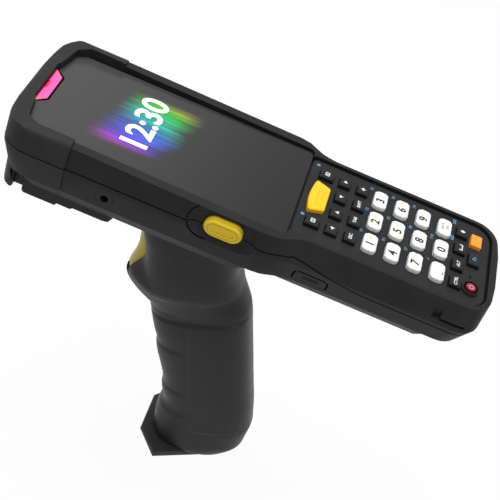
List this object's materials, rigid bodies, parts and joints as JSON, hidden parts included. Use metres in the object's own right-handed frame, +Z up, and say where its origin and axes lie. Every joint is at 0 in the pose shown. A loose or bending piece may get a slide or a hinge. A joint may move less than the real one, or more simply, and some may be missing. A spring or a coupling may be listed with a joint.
{
  "type": "portable barcode data terminal",
  "caption": "Handheld barcode data terminal with a numeric keypad and display, clipped in a cradle on a pistol grip with a trigger.",
  "frame": {"origin": "on the underside of the foot, in the centre plane, below the tail edge of the display glass", "axes": "+X to the user's right, +Y along the terminal towards its head, +Z up, square to the display"},
  "size_m": [0.0778, 0.2196, 0.1934],
  "materials": {
    "casing_plastic": "fine moulded texture",
    "bumper_plastic": "fine moulded texture",
    "seal_rubber": "dull",
    "display_glass": "smooth, dark behind",
    "lens_red": "translucent, lit",
    "display_metal": "plain",
    "panel_plastic": "fine satin",
    "mat_rubber": "moulded silicone",
    "board": "circuit board",
    "engine_metal": "satin black",
    "window_glass": "dark red tint",
    "switch_metal": "stamped",
    "button_yellow": "satin",
    "jack_plastic": "satin",
    "pack_plastic": "fine moulded texture",
    "latch_plastic": "satin",
    "screw_steel": "turned",
    "cradle_plastic": "fine moulded texture",
    "grip_plastic": "fine moulded texture",
    "key_white": "painted caps, satin",
    "key_black": "satin silicone",
    "key_yellow": "satin",
    "key_orange": "satin",
    "key_red": "satin",
    "spring_steel": "wound wire"
  },
  "bodies": {
    "terminal": {"front_housing": "casing_plastic", "rear_housing": "casing_plastic", "head_bumper_upper": "bumper_plastic", "head_bumper_lower": "bumper_plastic", "housing_seal": "seal_rubber", "display_glass": "display_glass", "status_lens": "lens_red", "display_module": "display_metal", "keypad_panel": "panel_plastic", "keypad_mat": "mat_rubber", "main_board": "board", "scan_engine": "engine_metal", "scan_window": "window_glass", "side_switches": "switch_metal", "audio_jack": "jack_plastic", "case_screws": "screw_steel", "cradle": "cradle_plastic", "grip_shell_left": "grip_plastic", "grip_shell_right": "grip_plastic", "trigger_pin": "screw_steel", "trigger_switch": "switch_metal", "grip_foot": "grip_plastic"},
    "trigger_body": {"trigger": "button_yellow", "trigger_spring": "spring_steel"},
    "battery_body": {"battery_pack": "pack_plastic", "battery_cover": "pack_plastic"},
    "side_button_left_body": {"side_button_left": "button_yellow"},
    "latch_left_body": {"latch_left": "latch_plastic"},
    "side_button_right_body": {"side_button_right": "button_yellow"},
    "latch_right_body": {"latch_right": "latch_plastic"},
    "key_1_body": {"key_1": "key_white"},
    "key_2_body": {"key_2": "key_white"},
    "key_3_body": {"key_3": "key_white"},
    "key_4_body": {"key_4": "key_white"},
    "key_5_body": {"key_5": "key_white"},
    "key_6_body": {"key_6": "key_white"},
    "key_7_body": {"key_7": "key_white"},
    "key_8_body": {"key_8": "key_white"},
    "key_9_body": {"key_9": "key_white"},
    "key_point_body": {"key_point": "key_white"},
    "key_0_body": {"key_0": "key_white"},
    "key_delete_body": {"key_delete": "key_white"},
    "key_macro_left_body": {"key_macro_left": "key_black"},
    "key_macro_right_body": {"key_macro_right": "key_black"},
    "key_left_body": {"key_left": "key_black"},
    "key_up_body": {"key_up": "key_black"},
    "key_down_body": {"key_down": "key_black"},
    "key_right_body": {"key_right": "key_black"},
    "key_escape_body": {"key_escape": "key_black"},
    "key_tab_body": {"key_tab": "key_black"},
    "key_shift_body": {"key_shift": "key_black"},
    "key_back_body": {"key_back": "key_black"},
    "key_control_body": {"key_control": "key_black"},
    "key_alt_body": {"key_alt": "key_black"},
    "key_space_body": {"key_space": "key_black"},
    "key_star_body": {"key_star": "key_black"},
    "key_fn_body": {"key_fn": "key_black"},
    "key_scan_body": {"key_scan": "key_yellow"},
    "key_alpha_body": {"key_alpha": "key_orange"},
    "key_power_body": {"key_power": "key_red"}
  },
  "joints": [
    {"name": "trigger_pull", "type": "hinge", "parent": "terminal", "child": "trigger_body", "pos_m": [0, 0.05, 0.151], "axis": [-1, 0, 0], "range_deg": [0, 7], "stiffness_Nm_per_rad": 1.2},
    {"name": "battery_swing", "type": "hinge", "parent": "terminal", "child": "battery_body", "pos_m": [0, -0.075, 0.1698], "axis": [-1, 0, 0], "range_deg": [0, 30]},
    {"name": "side_button_left_press", "type": "slide", "parent": "terminal", "child": "side_button_left_body", "axis": [1, 0, 0], "range_m": [0, 0.0008], "stiffness_N_per_m": 800},
    {"name": "latch_left_slide", "type": "slide", "parent": "terminal", "child": "latch_left_body", "axis": [1, 0, 0], "range_m": [0, 0.0015], "stiffness_N_per_m": 500},
    {"name": "side_button_right_press", "type": "slide", "parent": "terminal", "child": "side_button_right_body", "axis": [-1, 0, 0], "range_m": [0, 0.0008], "stiffness_N_per_m": 800},
    {"name": "latch_right_slide", "type": "slide", "parent": "terminal", "child": "latch_right_body", "axis": [-1, 0, 0], "range_m": [0, 0.0015], "stiffness_N_per_m": 500},
    {"name": "key_1_press", "type": "slide", "parent": "terminal", "child": "key_1_body", "axis": [0, 0, -1], "range_m": [0, 0.0006], "stiffness_N_per_m": 600},
    {"name": "key_2_press", "type": "slide", "parent": "terminal", "child": "key_2_body", "axis": [0, 0, -1], "range_m": [0, 0.0006], "stiffness_N_per_m": 600},
    {"name": "key_3_press", "type": "slide", "parent": "terminal", "child": "key_3_body", "axis": [0, 0, -1], "range_m": [0, 0.0006], "stiffness_N_per_m": 600},
    {"name": "key_4_press", "type": "slide", "parent": "terminal", "child": "key_4_body", "axis": [0, 0, -1], "range_m": [0, 0.0006], "stiffness_N_per_m": 600},
    {"name": "key_5_press", "type": "slide", "parent": "terminal", "child": "key_5_body", "axis": [0, 0, -1], "range_m": [0, 0.0006], "stiffness_N_per_m": 600},
    {"name": "key_6_press", "type": "slide", "parent": "terminal", "child": "key_6_body", "axis": [0, 0, -1], "range_m": [0, 0.0006], "stiffness_N_per_m": 600},
    {"name": "key_7_press", "type": "slide", "parent": "terminal", "child": "key_7_body", "axis": [0, 0, -1], "range_m": [0, 0.0006], "stiffness_N_per_m": 600},
    {"name": "key_8_press", "type": "slide", "parent": "terminal", "child": "key_8_body", "axis": [0, 0, -1], "range_m": [0, 0.0006], "stiffness_N_per_m": 600},
    {"name": "key_9_press", "type": "slide", "parent": "terminal", "child": "key_9_body", "axis": [0, 0, -1], "range_m": [0, 0.0006], "stiffness_N_per_m": 600},
    {"name": "key_point_press", "type": "slide", "parent": "terminal", "child": "key_point_body", "axis": [0, 0, -1], "range_m": [0, 0.0006], "stiffness_N_per_m": 600},
    {"name": "key_0_press", "type": "slide", "parent": "terminal", "child": "key_0_body", "axis": [0, 0, -1], "range_m": [0, 0.0006], "stiffness_N_per_m": 600},
    {"name": "key_delete_press", "type": "slide", "parent": "terminal", "child": "key_delete_body", "axis": [0, 0, -1], "range_m": [0, 0.0006], "stiffness_N_per_m": 600},
    {"name": "key_macro_left_press", "type": "slide", "parent": "terminal", "child": "key_macro_left_body", "axis": [0, 0, -1], "range_m": [0, 0.0006], "stiffness_N_per_m": 600},
    {"name": "key_macro_right_press", "type": "slide", "parent": "terminal", "child": "key_macro_right_body", "axis": [0, 0, -1], "range_m": [0, 0.0006], "stiffness_N_per_m": 600},
    {"name": "key_left_press", "type": "slide", "parent": "terminal", "child": "key_left_body", "axis": [0, 0, -1], "range_m": [0, 0.0006], "stiffness_N_per_m": 600},
    {"name": "key_up_press", "type": "slide", "parent": "terminal", "child": "key_up_body", "axis": [0, 0, -1], "range_m": [0, 0.0006], "stiffness_N_per_m": 600},
    {"name": "key_down_press", "type": "slide", "parent": "terminal", "child": "key_down_body", "axis": [0, 0, -1], "range_m": [0, 0.0006], "stiffness_N_per_m": 600},
    {"name": "key_right_press", "type": "slide", "parent": "terminal", "child": "key_right_body", "axis": [0, 0, -1], "range_m": [0, 0.0006], "stiffness_N_per_m": 600},
    {"name": "key_escape_press", "type": "slide", "parent": "terminal", "child": "key_escape_body", "axis": [0, 0, -1], "range_m": [0, 0.0006], "stiffness_N_per_m": 600},
    {"name": "key_tab_press", "type": "slide", "parent": "terminal", "child": "key_tab_body", "axis": [0, 0, -1], "range_m": [0, 0.0006], "stiffness_N_per_m": 600},
    {"name": "key_shift_press", "type": "slide", "parent": "terminal", "child": "key_shift_body", "axis": [0, 0, -1], "range_m": [0, 0.0006], "stiffness_N_per_m": 600},
    {"name": "key_back_press", "type": "slide", "parent": "terminal", "child": "key_back_body", "axis": [0, 0, -1], "range_m": [0, 0.0006], "stiffness_N_per_m": 600},
    {"name": "key_control_press", "type": "slide", "parent": "terminal", "child": "key_control_body", "axis": [0, 0, -1], "range_m": [0, 0.0006], "stiffness_N_per_m": 600},
    {"name": "key_alt_press", "type": "slide", "parent": "terminal", "child": "key_alt_body", "axis": [0, 0, -1], "range_m": [0, 0.0006], "stiffness_N_per_m": 600},
    {"name": "key_space_press", "type": "slide", "parent": "terminal", "child": "key_space_body", "axis": [0, 0, -1], "range_m": [0, 0.0006], "stiffness_N_per_m": 600},
    {"name": "key_star_press", "type": "slide", "parent": "terminal", "child": "key_star_body", "axis": [0, 0, -1], "range_m": [0, 0.0006], "stiffness_N_per_m": 600},
    {"name": "key_fn_press", "type": "slide", "parent": "terminal", "child": "key_fn_body", "axis": [0, 0, -1], "range_m": [0, 0.0006], "stiffness_N_per_m": 600},
    {"name": "key_scan_press", "type": "slide", "parent": "terminal", "child": "key_scan_body", "axis": [0, 0, -1], "range_m": [0, 0.0006], "stiffness_N_per_m": 600},
    {"name": "key_alpha_press", "type": "slide", "parent": "terminal", "child": "key_alpha_body", "axis": [0, 0, -1], "range_m": [0, 0.0006], "stiffness_N_per_m": 600},
    {"name": "key_power_press", "type": "slide", "parent": "terminal", "child": "key_power_body", "axis": [0, 0, -1], "range_m": [0, 0.0006], "stiffness_N_per_m": 600}
  ]
}
